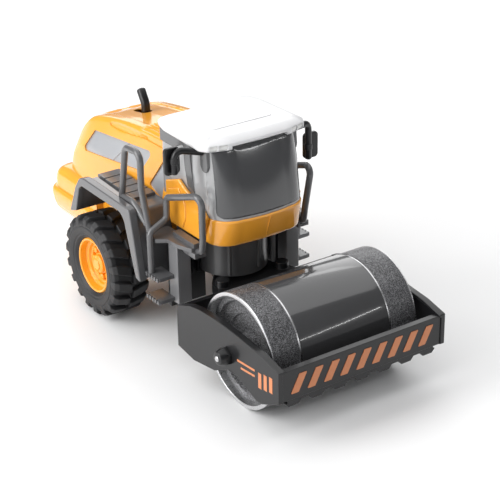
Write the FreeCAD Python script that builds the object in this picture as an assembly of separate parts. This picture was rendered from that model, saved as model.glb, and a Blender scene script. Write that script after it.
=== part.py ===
import FreeCAD, Part
import math
import os
from FreeCAD import Vector

# A toy road roller: a rear vehicle with hood and cab on two wheels, and a front frame that
# carries one wide drum and steers about an upright pin under the cab.
# Millimetres. X points forward, Y to the vehicle's left, Z up. Every length along the vehicle
# is a station: the distance ahead of the rear axle. The finished parts are shifted so that the
# origin lies on the ground in the middle of the whole vehicle.

# ---- driving dimensions ----
FRONT_X = 237.1            # front face of the roller frame
TAIL_X = -122.0            # rear face of the counterweight
TYRE_R = 40.0
TYRE_IN = 46.0             # inner and outer faces of the tyre, from the middle of the vehicle
TYRE_OUT = 77.0
RIM_R = 21.7
RIM_OUT = 73.0
RIM_FLOOR_Y = 63.0         # floor of the rim's dish
HUB_Y = 66.5               # end of the axle, under the hub cap
TREAD_DEPTH = 3.4
TREAD_LUGS = 18
DRUM_X = 176.9             # station of the drum's axle
DRUM_R = 41.6
DRUM_HALF = 60.6
DRUM_WALL = 2.6
DRUM_GROOVE_Y = 37.7
FRAME_OUT = 70.3           # outer face of the roller frame's side plates
PLATE = 3.6
BAR_X = (FRONT_X - 6, FRONT_X - 1)
BAR_Z = (32.0, 54.2)
AXLE_R = 3.0
RUNNING_GAP = 0.05         # radial clearance of every turning fit
PIVOT_X = 80.0             # station of the steering pin
PIVOT_R = 5.0
PIVOT_HOUSING_R = 26.0
PIVOT_FLOAT = 0.3          # play of the yoke between the pin's head and the housing
TONGUE_Z = (44.0, 52.0)
HOUSING_Z = (54.0, 88.5)
TRAY_Z = (46.0, 60.0)
TRAY_HALF = 34.0
TRAY_X = (-44.0, 62.0)
PAD_X = (12.0, 52.0)       # raised flat under the tray on which the toy can be set down
PAD_HALF = 28.0
PAD_Z = 45.0
BRACKET_Y = (33.0, 39.0)   # the two hangers of the rear axle
HOOD_HALF = 38.0
HOOD_FRONT_X = 48.0
HOOD_SEAM_Y = 28.0         # the hood is moulded as a top strip between two sides
EXHAUST_X = -36.0
EXHAUST_R = 3.6
SHELL = 2.6                # wall of the moulded shells
BELT_Z = (88.5, 109.5)
BELT_HALF = 38.0
CAB_TOP_Z = 160.0
CAB_CORNER_X = 106.0       # station where the cab's sides start to curve into its front
ROOF_TOP_Z = 169.0
VISOR_Z = 163.0            # underside of the roof between its two lamp corners
LAMP_Z = (160.8, 164.4)
PLATFORM_Z = (84.0, 87.0)
STEP_TREAD_Z = (39.5, 57.5)
PANEL_OUT = 42.0           # outer face of the door panels beside the cab base
FENDER_OUT = 72.0
DECK_Z = 105.0
RAIL_R = 2.5
MIRROR_X = 97.0
MIRROR_Y = 57.0
# the soft mirror arms sit differently: elbow height, the plate's top below it, and the plate's
# inner and outer edge
RIGHT_MIRROR = (163.8, 2.0, 50.5, 63.0)
LEFT_MIRROR = (150.4, 5.0, 55.5, 68.0)

ORIGIN_X = (FRONT_X + TAIL_X) / 2

# hood cross-sections: station, half width, side edge z, shoulder half width, shoulder z, ridge z
HOOD_SECTIONS = [
    (-101.6, 33.0, 70.0, 28.5, 80.0, 81.0),
    (-97.5, 35.0, 82.0, 30.0, 93.0, 94.0),
    (-90.5, 36.8, 94.0, 30.0, 106.5, 107.5),
    (-81.0, 37.7, 101.0, 30.0, 119.5, 120.7),
    (-68.6, 38.0, 104.0, 29.5, 129.0, 130.4),
    (-41.7, 38.0, 105.0, 28.5, 135.8, 137.2),
    (3.2, 38.0, 105.0, 28.0, 141.7, 143.1),
    (48.0, 38.0, 105.0, 28.0, 143.2, 144.6),
]
# window outlines on the hood's sides, as (station, z)
REAR_OPENING = [(-72.6, 102.5), (-60.0, 121.5), (25.1, 130.2), (13.8, 112.5)]
FRONT_OPENING = [(27.6, 108.0), (41.5, 131.5), (46.0, 131.5), (46.0, 101.5)]
# the roller frame's side plate, as (station, z)
FRAME_TOP = [(114.3, 53.6), (131.5, 60.2), (143.3, 62.3), (160.6, 63.3), (176.3, 63.1),
             (191.6, 62.2), (206.6, 60.6), (219.2, 59.4), (237.1, 55.2)]
FRAME_BOTTOM = [(237.1, 32.1), (217.8, 23.4), (210.9, 22.7), (188.8, 31.4), (178.7, 31.4),
                (160.9, 22.5), (134.9, 18.6), (114.3, 21.5)]
# the fender's arch, as (station, z), over the tyre from front foot to rear foot and back under
FENDER_OUTER = [(67.5, 52.2), (56.5, 105.6), (50.2, 106.6), (-9.6, 107.6), (-16.5, 105.8),
                (-23.5, 96.7), (-34.7, 72.6)]
FENDER_INNER = [(-24.4, 76.3), (-17.8, 96.6), (-13.7, 99.9), (46.7, 99.3), (61.3, 53.5)]


# ---- helpers ----
def box(x0, x1, y0, y1, z0, z1):
    return Part.makeBox(x1 - x0, y1 - y0, z1 - z0, Vector(x0, y0, z0))


def polygon_face(points):
    return Part.Face(Part.makePolygon(points + points[:1]))


def side_prism(outline, y0, y1):
    """Solid between two upright planes from (station, z) points."""
    return polygon_face([Vector(x, y0, z) for x, z in outline]).extrude(Vector(0, y1 - y0, 0))


def plan_prism(outline, z0, z1):
    """Solid between two level planes from (station, y) points."""
    return polygon_face([Vector(x, y, z0) for x, y in outline]).extrude(Vector(0, 0, z1 - z0))


def turned(profile, x, z):
    """Solid of revolution about the axle line at station x and height z, from (radius, y)."""
    face = polygon_face([Vector(x, y, z + r) for r, y in profile])
    return face.revolve(Vector(x, 0, z), Vector(0, 1, 0), 360)


def rod_y(x, z, radius, y0, y1):
    return Part.makeCylinder(radius, y1 - y0, Vector(x, y0, z), Vector(0, 1, 0))


def rod_z(x, y, radius, z0, z1):
    return Part.makeCylinder(radius, z1 - z0, Vector(x, y, z0), Vector(0, 0, 1))


def loft(wires):
    return Part.makeLoft(wires, True, True)


def tube(points, radius, bend):
    """Round rod along straight runs joined by tangent arcs."""
    points = [Vector(*point) for point in points]
    edges = []
    start = points[0]
    for before, corner, after in zip(points, points[1:], points[2:]):
        back = (before - corner).normalize()
        ahead = (after - corner).normalize()
        half = back.getAngle(ahead) / 2
        trim = bend / math.tan(half)
        middle = (back + ahead).normalize()
        entry = corner + back * trim
        leave = corner + ahead * trim
        nearest = corner + middle * (bend / math.sin(half) - bend)
        edges.append(Part.LineSegment(start, entry).toShape())
        edges.append(Part.Arc(entry, nearest, leave).toShape())
        start = leave
    edges.append(Part.LineSegment(start, points[-1]).toShape())
    section = Part.Wire([Part.makeCircle(radius, points[0], points[1] - points[0])])
    return Part.Wire(edges).makePipeShell([section], True, False)


def rounded(shape, radius, chosen):
    """Fillet the edges for which chosen(edge) is true."""
    return shape.makeFillet(radius, [edge for edge in shape.Edges if chosen(edge)])


def save(name, shape):
    moved = shape.copy()
    moved.translate(Vector(-ORIGIN_X, 0, 0))
    moved.exportStep(f"parts/{name}.step")


def mirrored(left):
    return left.mirror(Vector(0, 0, 0), Vector(0, 1, 0))


def both_sides(left):
    return Part.makeCompound([left, mirrored(left)])


def save_pair(name, left):
    """Write the left-hand piece and its mirror image."""
    save(name + "_l", left)
    save(name + "_r", mirrored(left))


# ---- rear wheels ----
def tyre():
    body = turned([(RIM_R, TYRE_IN + 2.5), (24.5, TYRE_IN + 1), (34, TYRE_IN), (37.5, TYRE_IN + 1),
                   (TYRE_R, TYRE_IN + 4), (TYRE_R, TYRE_OUT - 4), (37.5, TYRE_OUT - 1),
                   (34, TYRE_OUT), (24.5, TYRE_OUT - 1), (RIM_R, TYRE_OUT - 2.5)], 0, TYRE_R)
    middle = (TYRE_IN + TYRE_OUT) / 2
    pitch = 360 / TREAD_LUGS
    groove_width = 5.6
    grooves = []
    for row, (y0, y1) in enumerate([(TYRE_IN - 1, middle - 1), (middle + 1, TYRE_OUT + 1)]):
        groove = box(-groove_width / 2, groove_width / 2, y0, y1, TYRE_R - TREAD_DEPTH, TYRE_R + 2)
        groove.translate(Vector(0, 0, TYRE_R))
        for lug in range(TREAD_LUGS):
            turn = (lug + 0.5 * row) * pitch
            grooves.append(groove.rotated(Vector(0, 0, TYRE_R), Vector(0, 1, 0), turn))
    return body.cut(Part.makeCompound(grooves))


def rim():
    dish = turned([(AXLE_R, TYRE_IN + 0.5), (7, TYRE_IN + 0.5), (7, 53), (19.3, 53),
                   (19.3, TYRE_IN + 2.5), (RIM_R, TYRE_IN + 2.5), (RIM_R, RIM_OUT),
                   (19.8, RIM_OUT), (18.8, 68.5), (15.8, 67.5), (14.6, RIM_FLOOR_Y), (8, RIM_FLOOR_Y),
                   (8, HUB_Y), (AXLE_R, HUB_Y)], 0, TYRE_R)
    lug_circle = 11.4
    count = 8
    lugs = []
    for index in range(count):
        angle = 2 * math.pi * index / count
        lugs.append(rod_y(lug_circle * math.cos(angle), TYRE_R + lug_circle * math.sin(angle),
                          2.4, RIM_FLOOR_Y - 0.5, HUB_Y))
    return dish.fuse(lugs).removeSplitter()


def hub_cap():
    depth = 4.5
    cap = rod_y(0, TYRE_R, 7.0, HUB_Y, HUB_Y + depth)
    return rounded(cap, 1.5, lambda edge: edge.BoundBox.YMin > HUB_Y + depth - 0.5)


def make_rear_wheels():
    save("rear_axle", rod_y(0, TYRE_R, AXLE_R, -HUB_Y, HUB_Y))
    save_pair("tyre", tyre())
    save_pair("rim", rim())
    save_pair("hub_cap", hub_cap())


# ---- drum and roller frame ----
def drum_shell():
    inner = DRUM_R - DRUM_WALL
    shell = turned([(inner, -DRUM_HALF), (DRUM_R, -DRUM_HALF), (DRUM_R, DRUM_HALF),
                    (inner, DRUM_HALF)], DRUM_X, DRUM_R)
    for middle in (-DRUM_GROOVE_Y, DRUM_GROOVE_Y):
        ring = turned([(DRUM_R - 0.7, middle - 0.6), (DRUM_R + 1, middle - 0.6),
                       (DRUM_R + 1, middle + 0.6), (DRUM_R - 0.7, middle + 0.6)], DRUM_X, DRUM_R)
        shell = shell.cut(ring)
    return shell


def drum_end():
    """Recessed end disc with a step ring and a boss that runs on the axle."""
    bore = AXLE_R + RUNNING_GAP
    fit = DRUM_R - DRUM_WALL
    disc_in = 48
    disc_out = 51
    ring_out = 54.5
    boss_in = 44
    boss_out = 58
    return turned([(bore, boss_in), (8, boss_in), (8, disc_in), (fit, disc_in), (fit, ring_out),
                   (33.5, ring_out), (33.5, disc_out), (10, disc_out), (10, boss_out),
                   (bore, boss_out)], DRUM_X, DRUM_R)


def make_drum():
    save("drum_shell", drum_shell())
    save_pair("drum_end", drum_end())


def frame_side():
    inner = FRAME_OUT - PLATE
    plate = side_prism(FRAME_TOP + FRAME_BOTTOM, inner, FRAME_OUT)
    flange_drop = 2.2
    flange_reach = 1.6
    under = [(x, z - flange_drop) for x, z in reversed(FRAME_TOP)]
    flange = side_prism(FRAME_TOP + under, inner - flange_reach, inner)
    bore = rod_y(DRUM_X, DRUM_R, AXLE_R, inner - 5, FRAME_OUT + 5)
    return plate.fuse(flange).removeSplitter().cut(bore)


def axle_nut():
    """Hex nut, 12 mm across flats, against the outside of the side plate."""
    corner = 6 / math.cos(math.radians(30))
    points = []
    for index in range(6):
        angle = math.radians(60 * index + 30)
        points.append(Vector(DRUM_X + corner * math.cos(angle), FRAME_OUT,
                             DRUM_R + corner * math.sin(angle)))
    depth = 7
    nut = polygon_face(points).extrude(Vector(0, depth, 0))
    dome = Part.makeCone(7.6, 5.0, depth, Vector(DRUM_X, FRAME_OUT, DRUM_R), Vector(0, 1, 0))
    bore = rod_y(DRUM_X, DRUM_R, AXLE_R, FRAME_OUT - 1, FRAME_OUT + 8)
    return nut.common(dome).cut(bore)


def front_bar():
    inner = FRAME_OUT - PLATE
    return box(BAR_X[0], BAR_X[1], -inner, inner, *BAR_Z)


def scraper_comb():
    """Toothed strip under the front bar that cleans the drum."""
    back = BAR_X[0]
    depth = 4
    root = BAR_Z[0] - 2.5
    tip = root - 3
    strip = box(back, back + depth, -62, 62, root, BAR_Z[0])
    pitch = 19.0
    teeth = []
    for index in range(-3, 4):
        y = index * pitch
        tooth = [Vector(back, y - 6.5, root), Vector(back, y + 6.5, root),
                 Vector(back, y + 4, tip), Vector(back, y - 4, tip)]
        teeth.append(polygon_face(tooth).extrude(Vector(depth, 0, 0)))
    return strip.fuse(teeth).removeSplitter()


def bar_stripes():
    """Nine slanted marker stripes standing half a millimetre off the front bar."""
    pitch = 13.4
    width = 6.2
    lean = 7.0
    low = 36.4
    high = 49.8
    face_x = BAR_X[1]
    stripes = []
    for index in range(-4, 5):
        y = index * pitch
        outline = [Vector(face_x, y - lean / 2 - width / 2, low),
                   Vector(face_x, y - lean / 2 + width / 2, low),
                   Vector(face_x, y + lean / 2 + width / 2, high),
                   Vector(face_x, y + lean / 2 - width / 2, high)]
        stripes.append(polygon_face(outline).extrude(Vector(0.5, 0, 0)))
    return Part.makeCompound(stripes)


def steering_tongue():
    """Flat yoke from the frame's rear wall to the steering pin."""
    low, high = TONGUE_Z
    wall_x = FRAME_TOP[0][0]
    plate = plan_prism([(wall_x, -34), (wall_x, 34), (98, 30), (PIVOT_X, 16), (PIVOT_X, -16),
                        (98, -30)], low, high)
    eye = rod_z(PIVOT_X, 0, 16, low, high)
    bosses = [rod_z(106, y, 5, high, high + 5) for y in (-26, 26)]
    bore = rod_z(PIVOT_X, 0, PIVOT_R + RUNNING_GAP, low - 1, high + 1)
    return plate.fuse([eye] + bosses).removeSplitter().cut(bore)


def make_roller_frame():
    inner = FRAME_OUT - PLATE
    wall_x = FRAME_TOP[0][0]
    sides = both_sides(frame_side())
    save_pair("frame_side", frame_side())
    save("front_bar", front_bar().cut(sides))
    save("scraper_comb", scraper_comb())
    save("bar_stripes", bar_stripes())
    save("rear_wall", box(wall_x, wall_x + 4, -inner, inner, 28, 53).cut(sides))
    save("steering_tongue", steering_tongue())
    save("drum_axle", rod_y(DRUM_X, DRUM_R, AXLE_R, -FRAME_OUT - 8.5, FRAME_OUT + 8.5))
    save("axle_nuts", both_sides(axle_nut()))


# ---- chassis, pivot and counterweight ----
def tail_wire(rear_x, front_x, half, corner, z):
    """Plan outline of a counterweight tier: square in front, rounded behind."""
    def corner_arc(sign):
        centre = Vector(rear_x + corner, sign * (half - corner), z)
        diagonal = corner * math.sqrt(0.5)
        side = Vector(centre.x, sign * half, z)
        rear = Vector(rear_x, centre.y, z)
        middle = centre + Vector(-diagonal, sign * diagonal, 0)
        return side, middle, rear
    left, left_mid, left_rear = corner_arc(1)
    right, right_mid, right_rear = corner_arc(-1)
    front_left = Vector(front_x, half, z)
    front_right = Vector(front_x, -half, z)
    edges = [Part.LineSegment(front_left, left), Part.Arc(left, left_mid, left_rear),
             Part.LineSegment(left_rear, right_rear), Part.Arc(right_rear, right_mid, right),
             Part.LineSegment(right, front_right), Part.LineSegment(front_right, front_left)]
    return Part.Wire([edge.toShape() for edge in edges])


def counterweight_lower():
    front = TRAY_X[0]
    tiers = [(9, 39.5, 9, 36), (1.5, 45.5, 12, 46), (0, 47, 13, 54), (0, 47, 13, 58),
             (2, 45.5, 12, TRAY_Z[1])]
    return loft([tail_wire(TAIL_X + inset, front, half, corner, z) for inset, half, corner, z in tiers])


def counterweight_upper():
    front = TRAY_X[0]
    tiers = [(4, 44, 12, TRAY_Z[1]), (4, 44, 12, 70), (7.5, 42, 10, 75.5), (17, 37, 9, 78)]
    block = loft([tail_wire(TAIL_X + inset, front, half, corner, z) for inset, half, corner, z in tiers])
    return block.cut(hood_body(0))


def chassis_tray():
    rear, front = TRAY_X
    tray = box(rear, front, -TRAY_HALF, TRAY_HALF, *TRAY_Z)
    pad = box(*PAD_X, -PAD_HALF, PAD_HALF, PAD_Z, TRAY_Z[0])
    return tray.fuse(pad).cut(rod_z(PIVOT_X, 0, PIVOT_HOUSING_R, *TRAY_Z))


def axle_bracket():
    """Hanger under the tray with the bearing hole for the rear axle."""
    hanger = box(-10, 10, *BRACKET_Y, TYRE_R - 8, TRAY_Z[0])
    hanger = rounded(hanger, 5, lambda edge: edge.BoundBox.ZMax < TYRE_R and edge.BoundBox.YLength > 5)
    return hanger.cut(rod_y(0, TYRE_R, AXLE_R + RUNNING_GAP, *BRACKET_Y))


def pivot_housing():
    """Round housing under the cab that holds the top of the steering pin."""
    low, high = HOUSING_Z
    housing = rod_z(PIVOT_X, 0, PIVOT_HOUSING_R, low, high)
    pocket = rod_z(PIVOT_X, 0, PIVOT_HOUSING_R - 3, low + 12, high - 3)
    wing = box(PIVOT_X - 18, PIVOT_X + 2, -36, 36, low + 12, high)
    collar = rod_z(PIVOT_X, 0, 11, TONGUE_Z[1] + PIVOT_FLOAT, low)
    pin_hole = rod_z(PIVOT_X, 0, PIVOT_R, TONGUE_Z[1], low + 10)
    return housing.fuse([wing.cut(housing), collar]).cut(pocket).cut(pin_hole)


def pivot_pin():
    foot = TONGUE_Z[0] - 3.5
    shaft = rod_z(PIVOT_X, 0, PIVOT_R, foot, HOUSING_Z[0] + 10)
    head = rod_z(PIVOT_X, 0, 9, foot, TONGUE_Z[0] - PIVOT_FLOAT)
    return shaft.fuse(head).removeSplitter()


def make_chassis():
    save("chassis_tray", chassis_tray())
    save("axle_brackets", both_sides(axle_bracket()))
    save("counterweight_lower", counterweight_lower())
    save("counterweight_upper", counterweight_upper())
    save("pivot_housing", pivot_housing())
    save("pivot_pin", pivot_pin())


# ---- hood ----
def hood_body(skin):
    """The hood's outer form, moved in by skin on every face but the open bottom."""
    wires = []
    last = len(HOOD_SECTIONS) - 1
    for index, (x, half, side, shoulder_y, shoulder, ridge) in enumerate(HOOD_SECTIONS):
        x += skin if index == 0 else 0
        x -= skin if index == last else 0
        crown_y = shoulder_y / 2
        crown = shoulder + (ridge - shoulder) * 0.75
        right = [(half - skin, TRAY_Z[1]), (half - skin, side), (shoulder_y - skin, shoulder - skin),
                 (crown_y, crown - skin)]
        outline = [Vector(x, y, z) for y, z in right] + [Vector(x, 0, ridge - skin)]
        outline += [Vector(x, -y, z) for y, z in reversed(right)]
        wires.append(Part.makePolygon(outline + outline[:1]))
    return loft(wires)


def exhaust_pipe():
    return tube([(EXHAUST_X, 0, 131), (EXHAUST_X, 0, 143), (EXHAUST_X - 5.8, 0, 153)], EXHAUST_R, 8)


def make_hood():
    outer = hood_body(0)
    wall = outer.cut(hood_body(SHELL))
    recessed = hood_body(1.0).cut(hood_body(SHELL + 1.0))
    for name, outline in (("hood_panel_rear", REAR_OPENING), ("hood_panel_front", FRONT_OPENING)):
        window = side_prism(outline, 20, 50)
        save_pair(name, recessed.common(window))
        wall = wall.cut(both_sides(window))
    wall = wall.cut(rod_z(EXHAUST_X, 0, EXHAUST_R, 120, 160))
    top_strip = box(-150, 100, -HOOD_SEAM_Y, HOOD_SEAM_Y, 0, 200)
    save("hood_top", wall.common(top_strip))
    save("hood_sides", wall.cut(top_strip))
    save("exhaust_pipe", exhaust_pipe())


# ---- fenders, platforms, steps and rails ----
def fender():
    shell = side_prism(FENDER_OUTER + FENDER_INNER, HOOD_HALF, FENDER_OUT)
    deck_recess = box(-4, 47, HOOD_HALF + 4, FENDER_OUT - 6, DECK_Z - 0.5, DECK_Z + 6)
    return shell.cut(deck_recess)


def fender_tread():
    """Ribbed foot plate let into the top of the fender."""
    plate = box(-4, 47, HOOD_HALF + 4, FENDER_OUT - 16, DECK_Z - 0.5, DECK_Z + 1.5)
    ribs = []
    for index in range(5):
        x = -1 + index * 10.2
        ribs.append(box(x, x + 7.4, HOOD_HALF + 5, FENDER_OUT - 17, DECK_Z + 1.5, DECK_Z + 3))
    return plate.fuse(ribs)


def fender_rail():
    y = FENDER_OUT - 9
    foot = DECK_Z + 1.5
    hoop = tube([(32, y, foot), (40.5, y, 147), (61, y, 148.5), (60.5, y, 122), (67, y, 100)],
                RAIL_R, 6)
    lower = tube([(32.5, y, foot + 1), (48, y, foot + 1), (66.5, y, 101)], RAIL_R, 6)
    return hoop.fuse(lower).removeSplitter()


def platform():
    plan = [(58, PANEL_OUT), (104, PANEL_OUT), (104, 50), (92, 54), (80, 55), (75, 62), (62, 62),
            (58, 56)]
    plate = plan_prism(plan, *PLATFORM_Z)
    ridge = box(76, 104, PANEL_OUT, 48, PLATFORM_Z[1], PLATFORM_Z[1] + 3)
    lip = box(92, 107.5, 40, 49.5, PLATFORM_Z[0] - 4, PLATFORM_Z[0])
    return plate.fuse([ridge, lip]).removeSplitter()


def step_column():
    """Upright between the platform and the steps."""
    return box(78, 90, PANEL_OUT, 53.5, 38, PLATFORM_Z[0])


def steps():
    """Two treads with toothed outer edges, one above the other."""
    treads = []
    for z in STEP_TREAD_Z:
        tread = box(67.6, 85, 53.5, 65.5, z, z + 3)
        teeth = [box(68 + 3.6 * k, 70.2 + 3.6 * k, 65.5, 67.3, z, z + 3) for k in range(5)]
        treads.append(tread.fuse(teeth).removeSplitter())
    return Part.makeCompound(treads)


def door_rail():
    return tube([(108.5, 44, PLATFORM_Z[0] - 2), (114.5, 47, 130), (72.5, 50, 115.5), (72, 50, 99),
                 (72, 64.5, 92), (72, 64.5, 60.5)], RAIL_R, 5)


def make_sides():
    save_pair("fender", fender())
    save_pair("fender_tread", fender_tread())
    save_pair("fender_rail", fender_rail().cut(fender()))
    save_pair("platform", platform().cut([door_rail(), fender_rail(), fender()]))
    save_pair("step_column", step_column())
    save_pair("steps", steps())
    save_pair("door_rail", door_rail())


# ---- cab ----
def cab_wire(z, rear_x, half, front_x, inset):
    """Plan outline with straight sides, two tight corner arcs and one shallow front arc."""
    rear_x += inset
    half -= inset
    reach = front_x - inset - CAB_CORNER_X

    def at(along, across):
        return Vector(CAB_CORNER_X + reach * along, half * across, z)
    rear_right = Vector(rear_x, -half, z)
    rear_left = Vector(rear_x, half, z)
    edges = [Part.LineSegment(rear_right, at(0, -1)),
             Part.Arc(at(0, -1), at(0.62, -0.88), at(0.9, -0.53)),
             Part.Arc(at(0.9, -0.53), at(1, 0), at(0.9, 0.53)),
             Part.Arc(at(0.9, 0.53), at(0.62, 0.88), at(0, 1)),
             Part.LineSegment(at(0, 1), rear_left), Part.LineSegment(rear_left, rear_right)]
    return Part.Wire([edge.toShape() for edge in edges])


def cab_base():
    low, high = BELT_Z
    outer = loft([cab_wire(low, HOOD_FRONT_X, BELT_HALF, 123.4, 0),
                  cab_wire(high, HOOD_FRONT_X, BELT_HALF, 129.6, 0)])
    inner = loft([cab_wire(low + 3, HOOD_FRONT_X, BELT_HALF, 124.2, SHELL),
                  cab_wire(high, HOOD_FRONT_X, BELT_HALF, 129.6, SHELL)])
    return outer.cut(inner)


def cab_body(inset):
    return loft([cab_wire(BELT_Z[1], HOOD_FRONT_X + 2, 37.8, 127.5, inset),
                 cab_wire(136, HOOD_FRONT_X + 1.5, 37.6, 123, inset),
                 cab_wire(CAB_TOP_Z, HOOD_FRONT_X + 1, 36.5, 115.5, inset)])


def door_panel():
    outline = [(62, 90), (103, 90), (110.4, 110), (103, 116.6), (84, 122.6), (74.6, 128),
               (57, 121.7), (57, 108)]
    return side_prism(outline, BELT_HALF, PANEL_OUT)


def roof():
    def outline(z, inset):
        half = 44.5 - inset
        points = [(46 + inset, 39.5 - inset), (60, 43 - inset), (108, half), (114.4 - inset, half - 4),
                  (119.2 - inset, 25.2), (120 - inset, 0)]
        ring = [Vector(x, y, z) for x, y in points]
        ring += [Vector(x, -y, z) for x, y in reversed(points[:-1])]
        return Part.makePolygon(ring + ring[:1])
    cap = loft([outline(CAB_TOP_Z, 0.8), outline(CAB_TOP_Z + 4, 0), outline(ROOF_TOP_Z, 6)])
    return cap.cut(box(112, 125, -24, 24, CAB_TOP_Z - 1, VISOR_Z))


def lamp_windows():
    """Blocks that mark out two lamps at each front corner of the roof."""
    return both_sides(Part.makeCompound([box(111, 125, 27, 32.6, *LAMP_Z),
                                         box(109, 125, 33.8, 39, *LAMP_Z)]))


def mirror_arm(elbow_z, drop):
    """Bent arm from the cab's side, down behind the plate."""
    return tube([(104, 37.5, 155), (MIRROR_X, MIRROR_Y, elbow_z),
                 (MIRROR_X, MIRROR_Y, elbow_z - drop - 19)], RAIL_R, 5)


def mirror_head(elbow_z, drop, inner, outer):
    """Plate fixed to the rear of the arm's upright end."""
    top = elbow_z - drop
    plate = box(MIRROR_X - RAIL_R - 3.2, MIRROR_X - RAIL_R, inner, outer, top - 20, top)
    return rounded(plate, 2.5, lambda edge: edge.BoundBox.XLength > 3)


def make_cab():
    save("cab_base", cab_base())
    save_pair("door_panel", door_panel())
    shell = cab_body(0).cut(cab_body(SHELL))
    screen_edge = [Vector(100, -31, 114), Vector(100, 31, 114), Vector(100, 29, 156),
                   Vector(100, -29, 156)]
    screen = polygon_face(screen_edge).extrude(Vector(40, 0, 0))
    side_opening = side_prism([(92, 113), (109.5, 113), (105.5, 155), (86.5, 155)], 20, 50)
    rear_opening = side_prism([(58, 131), (82, 124), (79.5, 155), (58, 155)], 20, 50)
    save("windscreen", shell.common(screen))
    save_pair("side_window", shell.cut(screen).common(side_opening))
    save("quarter_windows", shell.common(both_sides(rear_opening)))
    save("cab_shell", shell.cut([screen, both_sides(side_opening), both_sides(rear_opening)]))
    save("roof", roof().cut(lamp_windows()))
    save("roof_lamps", roof().common(lamp_windows()))
    save("mirror_arm_l", mirror_arm(*LEFT_MIRROR[:2]).cut(cab_body(0)))
    save("mirror_arm_r", mirrored(mirror_arm(*RIGHT_MIRROR[:2]).cut(cab_body(0))))
    save("mirror_head_l", mirror_head(*LEFT_MIRROR))
    save("mirror_head_r", mirrored(mirror_head(*RIGHT_MIRROR)))


os.makedirs("parts", exist_ok=True)
make_rear_wheels()
make_drum()
make_roller_frame()
make_chassis()
make_hood()
make_sides()
make_cab()
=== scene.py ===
import math

import bmesh
import bpy
from mathutils import Matrix, Vector


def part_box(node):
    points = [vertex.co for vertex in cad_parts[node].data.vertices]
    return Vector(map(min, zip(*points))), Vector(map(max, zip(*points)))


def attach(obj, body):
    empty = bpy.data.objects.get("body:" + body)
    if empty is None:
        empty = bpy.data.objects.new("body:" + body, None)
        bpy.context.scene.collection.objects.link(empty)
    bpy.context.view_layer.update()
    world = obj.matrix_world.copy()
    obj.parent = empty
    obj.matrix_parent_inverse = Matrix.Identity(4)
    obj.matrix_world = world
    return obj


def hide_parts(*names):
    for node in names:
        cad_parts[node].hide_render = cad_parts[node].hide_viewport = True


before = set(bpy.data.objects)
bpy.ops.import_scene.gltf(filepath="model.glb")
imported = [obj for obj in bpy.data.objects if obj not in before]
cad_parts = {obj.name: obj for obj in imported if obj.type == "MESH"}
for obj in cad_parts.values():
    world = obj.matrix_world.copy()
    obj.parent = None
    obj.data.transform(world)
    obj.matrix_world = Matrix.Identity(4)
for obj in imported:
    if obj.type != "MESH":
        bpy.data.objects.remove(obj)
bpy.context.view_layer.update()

# Lengths are in millimetres, as stations: x ahead of the rear axle, y to the vehicle's left and
# z above the ground. at() turns them into the frame's metres.
MM = 0.001


def middle(node):
    low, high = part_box(node)
    return (low + high) / 2


def extent(node, axis):
    """A node's lowest and highest x, y or z in millimetres, with x counted from the rear axle."""
    start = AXLE_X if axis == "x" else 0.0
    return [(getattr(corner, axis) - start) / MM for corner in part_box(node)]


AXLE = middle("rear_axle")
DRUM = middle("drum_shell")
AXLE_X = AXLE.x
DRUM_X = (DRUM.x - AXLE_X) / MM
DRUM_R = DRUM.z / MM
TYRE_R = AXLE.z / MM
DRUM_HALF = extent("drum_shell", "y")[1]
TYRE_IN, TYRE_OUT = extent("tyre_l", "y")
FRAME_OUT = extent("frame_side_l", "y")[1]
BAR_FRONT = extent("front_bar", "x")[1]
BELT_LOW, BELT_HIGH = extent("cab_base", "z")
ROOF_LOW, ROOF_HIGH = extent("roof", "z")
TAIL_X = extent("counterweight_lower", "x")[0]
HOOD_BOTTOM = extent("hood_sides", "z")[0]
HOOD_FRONT = extent("hood_sides", "x")[1]
FENDER_OUT = extent("fender_l", "y")[1]
VISOR_Z = 163.0
LAMP_Z = (160.8, 164.4)
SIDES = (("l", 1), ("r", -1))


def at(x, y, z):
    return Vector((AXLE_X + x * MM, y * MM, z * MM))


# ---- materials
def shader_nodes(name):
    mat = bpy.data.materials.new(name)
    mat.use_nodes = True
    tree = mat.node_tree
    return mat, tree.nodes, tree.links, tree.nodes["Principled BSDF"]


def noise(nodes, links, scale, detail=3.0, vector=None):
    node = nodes.new("ShaderNodeTexNoise")
    node.inputs["Scale"].default_value = scale
    node.inputs["Detail"].default_value = detail
    if vector is None:
        coord = nodes.new("ShaderNodeTexCoord")
        vector = coord.outputs["Object"]
    links.new(vector, node.inputs["Vector"])
    return node.outputs["Fac"]


def ramp(nodes, links, factor, stops):
    node = nodes.new("ShaderNodeValToRGB")
    elements = node.color_ramp.elements
    while len(elements) < len(stops):
        elements.new(0.5)
    for element, (position, colour) in zip(elements, stops):
        element.position = position
        element.color = (*colour, 1.0)
    links.new(factor, node.inputs["Fac"])
    return node.outputs["Color"]


def ranged(nodes, links, factor, low, high):
    node = nodes.new("ShaderNodeMapRange")
    node.inputs["To Min"].default_value = low
    node.inputs["To Max"].default_value = high
    links.new(factor, node.inputs["Value"])
    return node.outputs["Result"]


def bump(nodes, links, height, strength, distance, normal=None):
    node = nodes.new("ShaderNodeBump")
    node.inputs["Strength"].default_value = strength
    node.inputs["Distance"].default_value = distance
    links.new(height, node.inputs["Height"])
    if normal is not None:
        links.new(normal, node.inputs["Normal"])
    return node.outputs["Normal"]


def scaled(colour, factor):
    return tuple(min(1.0, channel * factor) for channel in colour)


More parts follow.
